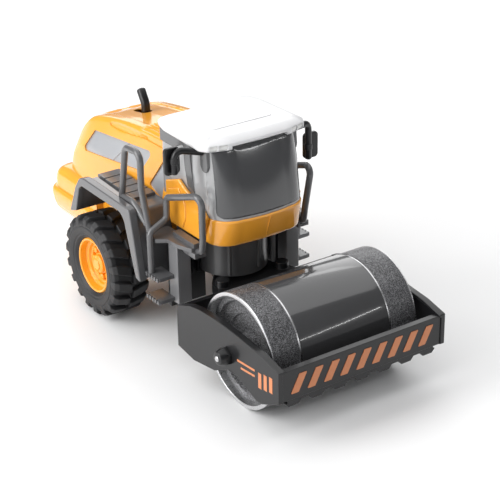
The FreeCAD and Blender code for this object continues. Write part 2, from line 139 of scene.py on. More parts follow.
def moulded(name, colour, roughness, coat=0.0, grain=0.12, specular=0.5):
    """Moulded plastic: slow colour drift, uneven gloss, fine moulding grain and faint waviness."""
    mat, nodes, links, shader = shader_nodes(name)
    drift = noise(nodes, links, 38.0)
    tone = ramp(nodes, links, drift, [(0.3, scaled(colour, 0.97)), (0.7, scaled(colour, 1.03))])
    links.new(tone, shader.inputs["Base Color"])
    scuff = noise(nodes, links, 210.0, 6.0)
    gloss = ranged(nodes, links, scuff, roughness * 0.9, roughness * 1.12)
    links.new(gloss, shader.inputs["Roughness"])
    wave = bump(nodes, links, noise(nodes, links, 45.0, 1.0), 0.04, 0.0005)
    fine = bump(nodes, links, noise(nodes, links, 2600.0, 2.0), grain, 0.0001, wave)
    links.new(fine, shader.inputs["Normal"])
    shader.inputs["Specular IOR Level"].default_value = specular
    shader.inputs["Coat Weight"].default_value = coat
    shader.inputs["Coat Roughness"].default_value = 0.06
    return mat


def glitter(name, base, speck, amount, roughness):
    """Plastic with embedded bright flakes, each catching the light its own way."""
    mat, nodes, links, shader = shader_nodes(name)
    coord = nodes.new("ShaderNodeTexCoord")
    cells = nodes.new("ShaderNodeTexVoronoi")
    cells.inputs["Scale"].default_value = 2300.0
    links.new(coord.outputs["Object"], cells.inputs["Vector"])
    split = nodes.new("ShaderNodeSeparateColor")
    links.new(cells.outputs["Color"], split.inputs["Color"])
    edge = 1.0 - amount
    stops = [(0.0, scaled(base, 0.8)), (edge - 0.15, base), (edge, scaled(speck, 0.7)),
             (1.0, scaled(speck, 1.3))]
    tone = ramp(nodes, links, split.outputs[0], stops)
    links.new(tone, shader.inputs["Base Color"])
    gloss = ranged(nodes, links, split.outputs[1], roughness * 0.6, roughness * 1.6)
    links.new(gloss, shader.inputs["Roughness"])
    tilt = bump(nodes, links, split.outputs[2], 0.4, 0.00015)
    links.new(tilt, shader.inputs["Normal"])
    return mat


def brushed(name, colour, roughness):
    """Bright drawn metal with fine streaks along its length."""
    mat, nodes, links, shader = shader_nodes(name)
    coord = nodes.new("ShaderNodeTexCoord")
    stretch = nodes.new("ShaderNodeMapping")
    stretch.inputs["Scale"].default_value = (1.0, 0.05, 1.0)
    links.new(coord.outputs["Object"], stretch.inputs["Vector"])
    streaks = noise(nodes, links, 2200.0, 4.0, stretch.outputs["Vector"])
    tone = ramp(nodes, links, streaks, [(0.3, scaled(colour, 0.8)), (0.7, scaled(colour, 1.1))])
    links.new(tone, shader.inputs["Base Color"])
    links.new(ranged(nodes, links, streaks, roughness, roughness * 1.6), shader.inputs["Roughness"])
    shader.inputs["Metallic"].default_value = 1.0
    return mat


def rubber(name, colour):
    """Matt black tyre rubber with dusty patches and a pebbled skin."""
    mat, nodes, links, shader = shader_nodes(name)
    dust = noise(nodes, links, 90.0, 8.0)
    tone = ramp(nodes, links, dust, [(0.35, colour), (0.75, scaled(colour, 1.7))])
    links.new(tone, shader.inputs["Base Color"])
    links.new(ranged(nodes, links, dust, 0.42, 0.62), shader.inputs["Roughness"])
    skin = bump(nodes, links, noise(nodes, links, 1500.0, 3.0), 0.25, 0.0002)
    links.new(skin, shader.inputs["Normal"])
    return mat


YELLOW = moulded("hood_yellow", (0.88, 0.37, 0.03), 0.20, coat=0.7, grain=0.03)
RIM_YELLOW = moulded("rim_yellow", (0.90, 0.36, 0.018), 0.26, coat=0.5, grain=0.04)
GREY = moulded("fender_grey", (0.105, 0.105, 0.109), 0.24, coat=0.5, grain=0.04)
LIGHT_GREY = moulded("deck_grey", (0.30, 0.30, 0.305), 0.32, coat=0.4, grain=0.05)
BLACK = moulded("frame_black", (0.009, 0.009, 0.010), 0.3, coat=0.2, grain=0.04, specular=0.35)
DARK = moulded("housing_dark", (0.085, 0.086, 0.088), 0.3, coat=0.35, grain=0.04)
# The cab wall is the screen's dark smoked grey painted much lighter: painted sheen of the cab's lit
# side.
CAB_GREY_SHEEN = moulded("cab_grey_painted_sheen", (0.32, 0.322, 0.327), 0.13, coat=0.9, grain=0.012)
PILLAR = moulded("pillar_dark", (0.085, 0.086, 0.089), 0.2, coat=0.7, grain=0.015)
SCREEN = moulded("screen_smoke", (0.058, 0.059, 0.062), 0.14, coat=0.9, grain=0.012)
# The side windows are the screen's dark smoke painted much lighter: painted sheen of the lit side.
WINDOW_SHEEN = moulded("window_smoke_painted_sheen", (0.36, 0.362, 0.367), 0.14, coat=0.8, grain=0.012)
WHITE = moulded("roof_white", (0.78, 0.78, 0.79), 0.3, coat=0.3, grain=0.06)
LENS = moulded("lamp_lens", (0.80, 0.80, 0.78), 0.12, coat=0.9, grain=0.02)
SILVER = moulded("silver_panel", (0.40, 0.41, 0.43), 0.3, coat=0.3, grain=0.05)
SILVER.node_tree.nodes["Principled BSDF"].inputs["Metallic"].default_value = 0.35
RUBBER = rubber("tyre_rubber", (0.014, 0.014, 0.015))
DRUM_GREY = moulded("drum_metal", (0.05, 0.05, 0.052), 0.17, coat=0.8, grain=0.03)
BAND = glitter("drum_band_glitter", (0.04, 0.04, 0.042), (0.20, 0.20, 0.21), 0.35, 0.3)
DISC = glitter("drum_disc_glitter", (0.08, 0.08, 0.082), (0.28, 0.28, 0.29), 0.4, 0.35)
EDGE = brushed("drum_edge", (0.72, 0.72, 0.73), 0.22)
STEEL = brushed("axle_steel", (0.70, 0.70, 0.71), 0.25)
COLUMN = moulded("column_grey", (0.17, 0.17, 0.175), 0.3, coat=0.4, grain=0.04)
STRIPE = moulded("stripe_orange", (0.62, 0.22, 0.09), 0.4, grain=0.2)


# ---- outlines
def rounded(points, radius, steps=6):
    """Closed 2-D outline with its corners turned into arcs, of one radius or one radius each."""
    count = len(points)
    radii = radius if isinstance(radius, (list, tuple)) else [radius] * count
    outline = []
    for index, corner in enumerate(points):
        corner = Vector(corner)
        back = Vector(points[index - 1]) - corner
        ahead = Vector(points[(index + 1) % count]) - corner
        angle = back.angle(ahead)
        if radii[index] <= 0 or angle > math.pi - 0.02:
            outline.append(corner)
            continue
        trim = radii[index] / math.tan(angle / 2)
        trim = min(trim, back.length * 0.49, ahead.length * 0.49)
        real = trim * math.tan(angle / 2)
        towards = (back.normalized() + ahead.normalized()).normalized()
        centre = corner + towards * (real / math.sin(angle / 2))
        start = corner + back.normalized() * trim - centre
        end = corner + ahead.normalized() * trim - centre
        sweep = start.angle(end)
        turn = 1 if start.x * end.y - start.y * end.x > 0 else -1
        for step in range(steps + 1):
            bend = turn * sweep * step / steps
            spot = Vector((start.x * math.cos(bend) - start.y * math.sin(bend),
                           start.x * math.sin(bend) + start.y * math.cos(bend)))
            outline.append(centre + spot)
    return [(point.x, point.y) for point in outline]


def arc_through(first, mid, last, steps):
    """Points of the circle arc through three 2-D points."""
    a, b, c = Vector(first), Vector(mid), Vector(last)
    cross = 2 * (a.x * (b.y - c.y) + b.x * (c.y - a.y) + c.x * (a.y - b.y))
    centre = Vector(((a.dot(a) * (b.y - c.y) + b.dot(b) * (c.y - a.y) + c.dot(c) * (a.y - b.y)) / cross,
                     (a.dot(a) * (c.x - b.x) + b.dot(b) * (a.x - c.x) + c.dot(c) * (b.x - a.x)) / cross))
    start = math.atan2(a.y - centre.y, a.x - centre.x)
    end = math.atan2(c.y - centre.y, c.x - centre.x)
    sweep = (end - start + math.pi) % (2 * math.pi) - math.pi
    radius = (a - centre).length
    return [(centre.x + radius * math.cos(start + sweep * k / steps),
             centre.y + radius * math.sin(start + sweep * k / steps)) for k in range(steps + 1)]


def resampled(points, count):
    """The same polyline with evenly spaced points."""
    points = [Vector(point) for point in points]
    lengths = [0.0]
    for before, after in zip(points, points[1:]):
        lengths.append(lengths[-1] + (after - before).length)
    spots = []
    index = 0
    for k in range(count):
        target = lengths[-1] * k / (count - 1)
        while index < len(points) - 2 and lengths[index + 1] < target:
            index += 1
        span = lengths[index + 1] - lengths[index]
        share = (target - lengths[index]) / span if span > 0 else 0
        spots.append(points[index].lerp(points[index + 1], share))
    return spots


# ---- mesh makers
def solid_mesh(name, shape, weld=False):
    """Mesh of a closed shape with its faces turned outward. weld joins points that coincide."""
    verts, faces = shape
    mesh = bpy.data.meshes.new(name)
    mesh.from_pydata([tuple(vert) for vert in verts], [], faces)
    solid = bmesh.new()
    solid.from_mesh(mesh)
    if weld:
        bmesh.ops.remove_doubles(solid, verts=solid.verts, dist=1e-7)
    bmesh.ops.recalc_face_normals(solid, faces=solid.faces)
    solid.to_mesh(mesh)
    solid.free()
    return mesh


def placed(name, data):
    obj = bpy.data.objects.new(name, data)
    bpy.context.scene.collection.objects.link(obj)
    return obj


def piece(name, shape, material, body="chassis", smooth=35.0, bevel=None, nodes=(), slot=None):
    """A visible piece. bevel holds bevelled()'s width and segments, nodes what it stands for."""
    obj = dressed(name, solid_mesh(name, shape, True), material, body, smooth)
    if bevel:
        bevelled(obj, *bevel)
    if nodes:
        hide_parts(*nodes)
    return obj


def pair(name, shape, material, nodes=(), **look):
    """The piece on the left and its mirror image on the right. A node of neither side is shared."""
    for suffix, side in SIDES:
        own = [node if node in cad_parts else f"{node}_{suffix}" for node in nodes]
        piece(f"{name}_{suffix}", mirrored(shape, side), material, nodes=own, **look)


def dressed(name, mesh, material, body, smooth=35.0):
    obj = placed(name, mesh)
    mesh.materials.clear()
    mesh.materials.append(material)
    shade(mesh, smooth)
    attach(obj, body)
    return obj


def shade(mesh, smooth):
    mesh.polygons.foreach_set("use_smooth", [True] * len(mesh.polygons))
    mesh.set_sharp_from_angle(angle=math.radians(smooth))
    mesh.update()


def bevelled(obj, width, segments=3, angle=32.0):
    """Rounds the piece's sharp edges by width millimetres, for good."""
    modifier = obj.modifiers.new("round", "BEVEL")
    modifier.width = width * MM
    modifier.segments = segments
    modifier.limit_method = "ANGLE"
    modifier.angle_limit = math.radians(angle)
    modifier.harden_normals = True
    applied(obj)


def applied(obj):
    """Turns the piece's modifiers into plain mesh."""
    graph = bpy.context.evaluated_depsgraph_get()
    mesh = bpy.data.meshes.new_from_object(obj.evaluated_get(graph))
    old = obj.data
    obj.modifiers.clear()
    obj.data = mesh
    bpy.data.meshes.remove(old)


def carve(obj, shape, operation="DIFFERENCE"):
    """Cuts a closed shape out of the piece, or with INTERSECT keeps only what lies inside it."""
    cutter = placed("cutter", solid_mesh("cutter", shape))
    modifier = obj.modifiers.new("cut", "BOOLEAN")
    modifier.object = cutter
    modifier.operation = operation
    modifier.solver = "EXACT"
    applied(obj)
    bpy.data.objects.remove(cutter)


def extruded(rings):
    """Vertices and faces of a closed solid through rings with equal counts."""
    count = len(rings[0])
    verts = [vert for ring in rings for vert in ring]
    faces = [list(range(count))[::-1], list(range((len(rings) - 1) * count, len(rings) * count))]
    for level in range(len(rings) - 1):
        low = level * count
        for k in range(count):
            nxt = (k + 1) % count
            faces.append([low + k, low + nxt, low + count + nxt, low + count + k])
    return verts, faces


def grid_faces(rows, count, base=0):
    """Four-sided faces between rows of count points each, numbered from base."""
    starts = [base + row * count + k for row in range(rows - 1) for k in range(count - 1)]
    return [[low, low + 1, low + count + 1, low + count] for low in starts]


def side_slab(outline, y0, y1):
    """Slab between two upright planes from (station, z) points."""
    return extruded([[at(x, y, z) for x, z in outline] for y in (y0, y1)])


def level_slab(outline, z0, z1):
    return extruded([[at(x, y, z) for x, y in outline] for z in (z0, z1)])


def cross_slab(outline, x0, x1):
    """Slab between two planes across the vehicle from (y, z) points."""
    return extruded([[at(x, y, z) for y, z in outline] for x in (x0, x1)])


def box_shape(x0, x1, y0, y1, z0, z1):
    return level_slab([(x0, y0), (x1, y0), (x1, y1), (x0, y1)], z0, z1)


def joined(shapes):
    verts, faces = [], []
    for more_verts, more_faces in shapes:
        base = len(verts)
        verts += more_verts
        faces += [[base + index for index in face] for face in more_faces]
    return verts, faces


def lathe(profile, x, z, segments=96):
    """Closed solid of revolution about a Y axle through station x, height z, from (radius, y)."""
    count = len(profile)
    verts = []
    for k in range(segments):
        angle = 2 * math.pi * k / segments
        for radius, y in profile:
            verts.append(at(x + radius * math.cos(angle), y, z + radius * math.sin(angle)))
    faces = []
    for k in range(segments):
        nxt = (k + 1) % segments
        for j in range(count):
            up = (j + 1) % count
            faces.append([k * count + j, k * count + up, nxt * count + up, nxt * count + j])
    return verts, faces


def tube(points, radius, bend, segments=18):
    """Round rod with rounded ends along straight runs joined by tangent arcs."""
    corners = [Vector(point) for point in points]
    steps = 8
    path = [corners[0]]
    for before, corner, after in zip(corners, corners[1:], corners[2:]):
        back = (before - corner).normalized()
        ahead = (after - corner).normalized()
        half = back.angle(ahead) / 2
        reach = min(bend, 0.48 * math.tan(half) * min((before - corner).length, (after - corner).length))
        trim = reach / math.tan(half)
        centre = corner + (back + ahead).normalized() * (reach / math.sin(half))
        start = corner + back * trim - centre
        end = corner + ahead * trim - centre
        sweep = start.angle(end)
        across = (end - start * math.cos(sweep)) / math.sin(sweep)
        for step in range(steps + 1):
            turn = sweep * step / steps
            path.append(centre + start * math.cos(turn) + across * math.sin(turn))
    path.append(corners[-1])
    return swept(path, radius, segments)


def swept(path, radius, segments=18):
    """Round rod through a list of points, with domed ends."""
    tangents = []
    for index in range(len(path)):
        ahead = path[min(index + 1, len(path) - 1)]
        back = path[max(index - 1, 0)]
        tangents.append((ahead - back).normalized())
    side = tangents[0].orthogonal().normalized()
    rings = []
    dome = 4
    for k in range(dome, 0, -1):
        lift = math.pi / 2 * k / dome
        rings.append((path[0] - tangents[0] * radius * 0.5 * math.sin(lift), tangents[0],
                      radius * max(math.cos(lift), 0.05)))
    rings += [(point, tangent, radius) for point, tangent in zip(path, tangents)]
    for k in range(1, dome + 1):
        lift = math.pi / 2 * k / dome
        rings.append((path[-1] + tangents[-1] * radius * 0.5 * math.sin(lift), tangents[-1],
                      radius * max(math.cos(lift), 0.05)))
    loops = []
    for centre, tangent, size in rings:
        side = (side - tangent * side.dot(tangent)).normalized()
        other = tangent.cross(side)
        loop = []
        for k in range(segments):
            angle = 2 * math.pi * k / segments
            spot = centre + side * (size * math.cos(angle)) + other * (size * math.sin(angle))
            loop.append(at(*spot))
        loops.append(loop)
    return extruded(loops)


def mirrored(shape, sign):
    """The left-hand shape, or its mirror image on the right."""
    verts, faces = shape
    return [Vector((vert.x, vert.y * sign, vert.z)) for vert in verts], faces


def softened(node, material, width, body="chassis", segments=3):
    """A piece with a CAD node's shape and rounded edges, which stands for the node."""
    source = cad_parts[node].data
    mesh = source.copy()
    shape = bmesh.new()
    shape.from_mesh(mesh)
    bmesh.ops.remove_doubles(shape, verts=shape.verts, dist=2e-6)
    bmesh.ops.dissolve_limit(shape, angle_limit=math.radians(1.5), verts=shape.verts, edges=shape.edges)
    bmesh.ops.recalc_face_normals(shape, faces=shape.faces)
    shape.to_mesh(mesh)
    shape.free()
    obj = dressed(node + "_skin", mesh, material, body)
    bevelled(obj, width, segments)
    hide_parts(node)


# ---- drum
def make_drum():
    band_in = 37.7
    groove = 0.55
    wall = 2.4
    inner = DRUM_R - wall
    edge = DRUM_HALF - 0.9
    deep = DRUM_HALF - 7.5

    def turned(profile):
        return lathe(profile, DRUM_X, DRUM_R, 160)

    centre = rounded([(inner, -band_in + groove), (DRUM_R, -band_in + groove),
                      (DRUM_R, band_in - groove), (inner, band_in - groove)], [0, 0.5, 0.5, 0], 3)
    piece("drum_centre", turned(centre), DRUM_GREY, "drum", nodes=["drum_shell"])
    band = rounded([(inner, band_in + groove), (DRUM_R, band_in + groove), (DRUM_R, edge),
                    (inner, edge)], [0, 0.5, 0.3, 0], 3)
    pair("drum_band", turned(band), BAND, body="drum", nodes=["drum_shell"])
    ring = [(inner - 0.3, band_in - groove), (DRUM_R - 0.45, band_in - groove),
            (DRUM_R - 0.45, band_in + groove), (inner - 0.3, band_in + groove)]
    pair("drum_groove", turned(ring), EDGE, body="drum")
    lip = rounded([(inner - 0.5, deep), (inner, edge), (DRUM_R, edge), (DRUM_R, DRUM_HALF),
                   (inner - 0.6, DRUM_HALF), (inner - 1.2, deep)], [0, 0, 0.2, 0.4, 0.4, 0], 3)
    pair("drum_lip", turned(lip), EDGE, body="drum")
    disc = rounded([(3.1, 46), (inner - 0.4, 46), (inner - 0.4, 55), (34.2, 55), (33.4, 51.5),
                    (24, 51.2), (23.4, 49.8), (11.5, 49.8), (10.6, 57.5), (3.1, 57.5)],
                   [0, 0, 0.4, 0.5, 0.8, 0.4, 0.6, 0.8, 0.8, 0], 3)
    pair("drum_disc", lathe(disc, DRUM_X, DRUM_R, 128), DISC, body="drum", nodes=["drum_end"])


# ---- wheels
def tread_lug(angle, inboard):
    """One chunky tread block, as a bent bar from the middle of the tyre to its shoulder."""
    out = -1 if inboard else 1
    middle_y = (TYRE_IN + TYRE_OUT) / 2 + 0.8 * out
    shoulder_y = TYRE_IN + 0.6 if inboard else TYRE_OUT - 0.6
    stations = [(0.0, 0.0, TYRE_R, 7.8), (0.42, 2.2, TYRE_R, 7.4), (0.8, 3.8, TYRE_R - 0.3, 6.6),
                (1.0, 4.4, TYRE_R - 2.6, 6.0), (1.03, 4.6, TYRE_R - 7.0, 5.2)]
    rings = []
    for share, lag, radius, width in stations:
        y = middle_y + (shoulder_y - middle_y) * min(share, 1.0) + (0.35 * out if share > 1 else 0)
        ring = []
        for depth, grow, edges in ((0.0, 0.0, (-1, 1)), (5.2, 1.0, (1, -1))):
            taper = 0.9 * out if depth and share >= 0.8 else 0
            for edge in edges:
                arc = angle + (lag + edge * (width / 2 + grow)) / TYRE_R
                reach = radius - depth
                ring.append(at(reach * math.cos(arc), y - taper, TYRE_R + reach * math.sin(arc)))
        rings.append(ring)
    return extruded(rings)


def make_tyre():
    carcass = rounded([(21.7, TYRE_IN + 3), (24.5, TYRE_IN + 1.2), (31, TYRE_IN), (35.6, TYRE_IN + 1.5),
                       (36.6, TYRE_IN + 5), (36.6, TYRE_OUT - 5), (35.6, TYRE_OUT - 1.8),
                       (32.5, TYRE_OUT - 0.4), (31.6, TYRE_OUT - 0.9), (30.8, TYRE_OUT - 0.2),
                       (26.4, TYRE_OUT - 0.9), (25.4, TYRE_OUT - 1.7), (24.2, TYRE_OUT - 1.5),
                       (21.7, TYRE_OUT - 4)], 1.6, 4)
    pair("tyre_carcass", lathe(carcass, 0, TYRE_R, 120), RUBBER, body="rear_wheels", smooth=50.0,
         nodes=["tyre"])
    count = 18
    lugs = []
    for k in range(count):
        pitch = 2 * math.pi / count
        lugs.append(tread_lug(-math.pi / 2 + k * pitch, False))
        lugs.append(tread_lug(-math.pi / 2 + (k + 0.5) * pitch, True))
    pair("tyre_lugs", joined(lugs), RUBBER, body="rear_wheels", bevel=(0.7, 2))


def make_rim():
    profile = rounded([(3, TYRE_IN + 1), (8, TYRE_IN + 1), (8, 54), (19, 54), (19.4, TYRE_IN + 2.5),
                       (21.7, TYRE_IN + 2.5), (21.7, 73), (20.9, 74), (19.6, 73.6), (18.9, 68.5),
                       (16.6, 67.8), (15.9, 66.0), (14.2, 65.4), (13.6, 63.1), (8.6, 63.0),
                       (7.8, 67), (3, 67)],
                      [0, 0, 0.6, 0.6, 0, 0, 0.3, 0.4, 0.6, 0.8, 0.5, 0.7, 0.5, 0.8, 0.8, 0.5, 0], 4)
    dish = lathe(profile, 0, TYRE_R, 96)
    pair("rim_dish", dish, RIM_YELLOW, body="rear_wheels", nodes=["rim"])
    lugs = []
    for k in range(8):
        angle = 2 * math.pi * k / 8
        stud = rounded([(0.01, 62.6), (2.4, 62.6), (2.4, 66.8), (0.01, 67.2)], [0, 0, 0.9, 0], 4)
        lugs.append(lathe(stud, 11.1 * math.cos(angle), TYRE_R + 11.1 * math.sin(angle), 20))
    pair("rim_studs", joined(lugs), RIM_YELLOW, body="rear_wheels", smooth=50.0)
    cap = rounded([(0.01, 66.6), (7.2, 66.6), (7.2, 69.2), (4.6, 70.0), (4.1, 71.0), (0.01, 71.0)],
                  [0, 0, 1.0, 0.5, 0.6, 0], 4)
    pair("hub", lathe(cap, 0, TYRE_R, 48), RIM_YELLOW, body="rear_wheels", nodes=["hub_cap"])


def make_wheels():
    make_tyre()
    make_rim()
    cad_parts["rear_axle"].data.materials[0] = STEEL


# ---- roller frame
def make_roller_frame():
    for name, _ in SIDES:
        softened(f"frame_side_{name}", BLACK, 0.7, "roller_frame")
    sunk, proud = FRAME_OUT - 0.2, FRAME_OUT + 0.12
    marks = []
    for k in range(3):
        x, low = 214 + k * 6.2, 34.6 + k * 1.2
        outline = [(x, low), (x + 3.6, low), (x + 3.6, low + 11.5), (x, low + 11.5)]
        marks.append(side_slab(outline, sunk, proud))
    for lift in (0.0, 4.2):
        outline = [(189.5 + lift, 43.2 - lift), (210, 44.6 - lift), (210, 46.2 - lift),
                   (189.5 + lift, 44.8 - lift)]
        marks.append(side_slab(outline, sunk, proud))
    pair("side_marks", joined(marks), STRIPE, body="roller_frame")
    softened("front_bar", BLACK, 0.6, "roller_frame")
    softened("scraper_comb", BLACK, 0.35, "roller_frame", segments=2)
    softened("rear_wall", BLACK, 0.5, "roller_frame")
    # The tongue gets the frame's black, which also paints the shade under the belt over its bosses.
    softened("steering_tongue", BLACK, 0.5, "roller_frame")
    softened("axle_nuts", BLACK, 0.35, "roller_frame", segments=2)
    make_drum_axle()
    make_stripes()


def make_drum_axle():
    """Steel axle with a turned-down tip, held in each nut by a domed collar."""
    end = extent("drum_axle", "y")[1]
    half = [(3.0, FRAME_OUT + 7.0), (2.0, FRAME_OUT + 7.2), (2.0, end - 0.4), (1.6, end), (0.01, end)]
    profile = [(radius, -y) for radius, y in reversed(half)] + half
    piece("drum_shaft", lathe(profile, DRUM_X, DRUM_R, 40), STEEL, "roller_frame", nodes=["drum_axle"])
    ring = rounded([(2.0, FRAME_OUT + 6.6), (5.3, FRAME_OUT + 6.6), (4.6, FRAME_OUT + 7.6),
                    (2.0, FRAME_OUT + 7.9)], [0, 0.3, 0.6, 0], 3)
    collars = [mirrored(lathe(ring, DRUM_X, DRUM_R, 40), side) for _, side in SIDES]
    piece("nut_collars", joined(collars), BLACK, "roller_frame")


def make_stripes():
    width, lean, low, high = 6.2, 7.0, 36.4, 49.8
    stripes = []
    for index in range(-4, 5):
        y = index * 13.4
        outline = [(y - lean / 2 - width / 2, low), (y - lean / 2 + width / 2, low),
                   (y + lean / 2 + width / 2, high), (y + lean / 2 - width / 2, high)]
        stripes.append(cross_slab(rounded(outline, 0.5, 3), BAR_FRONT - 0.2, BAR_FRONT + 0.4))
    piece("front_stripes", joined(stripes), STRIPE, "roller_frame", nodes=["bar_stripes"])


# ---- chassis
def tail_ring(inset, corner, half, z, front):
    rear = TAIL_X + inset
    outline = [(front, half), (rear, half), (rear, -half), (front, -half)]
    ring = rounded(outline, [0, corner, corner, 0], 10)
    return [at(x, y, z) for x, y in ring]


def make_counterweight():
    front = -44.0
    lower = [(9.5, 9, 39, 36), (5.5, 10, 42, 39), (2.6, 11.5, 44.6, 43), (1.0, 12.5, 46.1, 48),
             (0.2, 13, 46.8, 53), (0.0, 13, 47, 56), (0.5, 13, 46.6, 58), (1.6, 12.5, 45.6, 59.4),
             (3.0, 12, 44.8, 60)]
    upper = [(4.0, 12, 44, 60), (4.0, 12, 44, 67), (4.5, 12, 43.6, 70.5), (5.8, 11.5, 42.6, 73.3),
             (8.2, 11, 41, 75.5), (11.5, 10, 39, 77), (17, 9, 37, 78)]
    tiers = (("lip", "counterweight_lower", lower), ("step", "counterweight_upper", upper))
    for name, node, levels in tiers:
        rings = [tail_ring(inset, corner, half, z, front) for inset, corner, half, z in levels]
        piece(f"counterweight_{name}", extruded(rings), YELLOW, smooth=50.0, nodes=[node])


def make_chassis():
    softened("chassis_tray", BLACK, 0.8)
    softened("axle_brackets", BLACK, 0.4)
    softened("pivot_housing", DARK, 0.6)
    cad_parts["pivot_pin"].data.materials[0] = STEEL
    strips = [box_shape(103.6, 106.6, y - 1.2, y + 1.2, 58, 87.5) for y in (6, 19, -19)]
    # A black sheet with three ribs under each platform: painted shade that fills the dark gap there.
    shade_skirt = [box_shape(72, 75.5, 21, 51, 30, 84)]
    shade_skirt += [box_shape(75, 79, y, y + 1.8, 53, 84) for y in (27.5, 33, 38.5)]
    pair("step_shade_skirt", joined(shade_skirt), BLACK, bevel=(0.4, 2))
    piece("housing_ribs", joined(strips), DARK, bevel=(0.5, 2))


# ---- hood
# Station, half width, side edge z, shoulder half width, shoulder z and ridge z.
HOOD_TABLE = [
    (-101.6, 33.0, 70.0, 28.5, 80.0, 81.0), (-97.5, 35.0, 82.0, 30.0, 93.0, 94.0),
    (-90.5, 36.8, 94.0, 30.0, 106.5, 107.5), (-81.0, 37.7, 101.0, 30.0, 119.5, 120.7),
    (-68.6, 38.0, 104.0, 29.5, 129.0, 130.4), (-41.7, 38.0, 105.0, 28.5, 135.8, 137.2),
    (3.2, 38.0, 105.0, 28.0, 141.7, 143.1), (48.0, 38.0, 105.0, 28.0, 143.2, 144.6)]
RELIEF = 1.5
LOUVRE = 1.3


def hood_row(x):
    """Half width, side edge z, shoulder half width, shoulder z and ridge z at a station."""
    stations = [row[0] for row in HOOD_TABLE]
    index = max(0, min(len(stations) - 2, sum(1 for station in stations if station <= x) - 1))
    rows = [HOOD_TABLE[max(0, min(len(stations) - 1, index + k))] for k in (-1, 0, 1, 2)]
    span = rows[2][0] - rows[1][0]
    share = (x - rows[1][0]) / span
    values = []
    for column in range(1, 6):
        before, start, end, after = (row[column] for row in rows)
        lead = (end - before) / max(rows[2][0] - rows[0][0], 1e-6) * span
        trail = (after - start) / max(rows[3][0] - rows[1][0], 1e-6) * span
        square, cube = share ** 2, share ** 3
        values.append((2 * cube - 3 * square + 1) * start + (cube - 2 * square + share) * lead
                      + (3 * square - 2 * cube) * end + (cube - square) * trail)
    return values


def hood_ring(x, inset, count):
    half, side, shoulder_y, shoulder, ridge = hood_row(x)
    crown = shoulder + (ridge - shoulder) * 0.75
    right = [(half, HOOD_BOTTOM), (half, side), (shoulder_y, shoulder), (shoulder_y / 2, crown),
             (0.0, ridge)]
    bends = [0, 16, 5, 14, 30]
    outline = right + [(-y, z) for y, z in reversed(right[:-1])]
    bends = bends + bends[-2::-1]
    middle_z = 0.6 * HOOD_BOTTOM + 0.4 * ridge
    ring = []
    for spot in resampled(rounded(outline, bends, 8), count):
        inward = Vector((-spot.x, middle_z - spot.y))
        if inset and inward.length > 0:
            spot = spot + inward.normalized() * inset
        ring.append((spot.x, spot.y))
    return ring


def tear_drop(x, y, z):
    """Depth of the long drop-shaped relief on the hood's shoulders."""
    share = (x + 40) / 54
    if not 0 <= share <= 1 or abs(y) < 24:
        return 0.0
    centre = 132.6 + 5.2 * share
    width = 1.9 * math.sin(math.pi * share ** 0.7) ** 0.8
    gap = abs(z - centre)
    return -RELIEF * min(1.0, max(0.0, 1 - (gap - width) / 0.9))


def louvre(x, y):
    """Depth of the grooves on the hood's crown, behind the cab."""
    spread = abs(y)
    if 26.8 < x < 29.4 and 17.4 < spread < 26.4:
        return -LOUVRE
    if not 13.6 < spread < 29.6 or not 3 < x < 41:
        return 0.0
    ends = max(0.0, min(1.0, (x - 3) / 1.2, (41 - x) / 1.2))
    wave = 0.5 - 0.5 * math.cos((spread - 13.6) / 3.2 * 2 * math.pi)
    return -LOUVRE * ends * (1 - wave)


def engine_cover(x, y, z):
    """Depth of the shallow tray in the hood's crown, with a finger notch at its rear."""
    if z < 112:
        return 0.0
    tray = min(1.0, (x + 66) / 0.9, (2.5 - x) / 0.9, (20.2 - abs(y)) / 0.9)
    notch = min(1.0, (x + 72) / 1.5, (-64 - x) / 1.5, (5.5 - abs(y)) / 1.5)
    return -RELIEF * max(0.0, tray, notch)


def hood_skin():
    """Closed, even-walled hood with its reliefs, before the side openings are cut."""
    wall = 2.4
    rows, inner_rows, around = 210, 40, 341
    rear, front = HOOD_TABLE[0][0], HOOD_FRONT
    stations = [rear + (front - rear) * (k / rows) ** 1.25 for k in range(rows + 1)]
    outer = []
    for x in stations:
        ring = []
        for y, z in hood_ring(x, 0, around):
            lift = tear_drop(x, y, z) + louvre(x, y) + engine_cover(x, y, z)
            side = Vector((0, y, z - 100)).normalized()
            ring.append(at(x, y, z) + side * lift * MM)
        outer.append(ring)
    inner = []
    for k in range(inner_rows + 1):
        x = rear + wall + (front - wall - rear - wall) * k / inner_rows
        inner.append([at(x, y, z) for y, z in hood_ring(x, wall, around)])
    count = len(outer[0])
    verts = [vert for ring in outer for vert in ring]
    base = len(verts)
    verts += [vert for ring in inner for vert in ring]
    faces = grid_faces(len(outer), count) + grid_faces(len(inner), count, base)
    last_out = (len(outer) - 1) * count
    last_in = base + (len(inner) - 1) * count
    faces.append(list(range(count)))
    faces.append([last_out + k for k in range(count)][::-1])
    faces.append([base + k for k in range(count)][::-1])
    faces.append([last_in + k for k in range(count)])
    for edge in (0, count - 1):
        rim_out = [level * count + edge for level in range(len(outer))]
        rim_in = [base + level * count + edge for level in range(len(inner))]
        faces.append(rim_out + rim_in[::-1])
    faces.append([0, count - 1, base + count - 1, base])
    faces.append([last_out, last_out + count - 1, last_in + count - 1, last_in])
    return verts, faces


REAR_OPENING = [(-72.6, 102.5), (-60.0, 121.5), (25.1, 130.2), (13.8, 112.5)]
FRONT_OPENING = [(27.6, 107.0), (42.4, 132.1), (47.2, 132.3), (47.2, 100.0)]
PANEL_DEPTH = 1.3


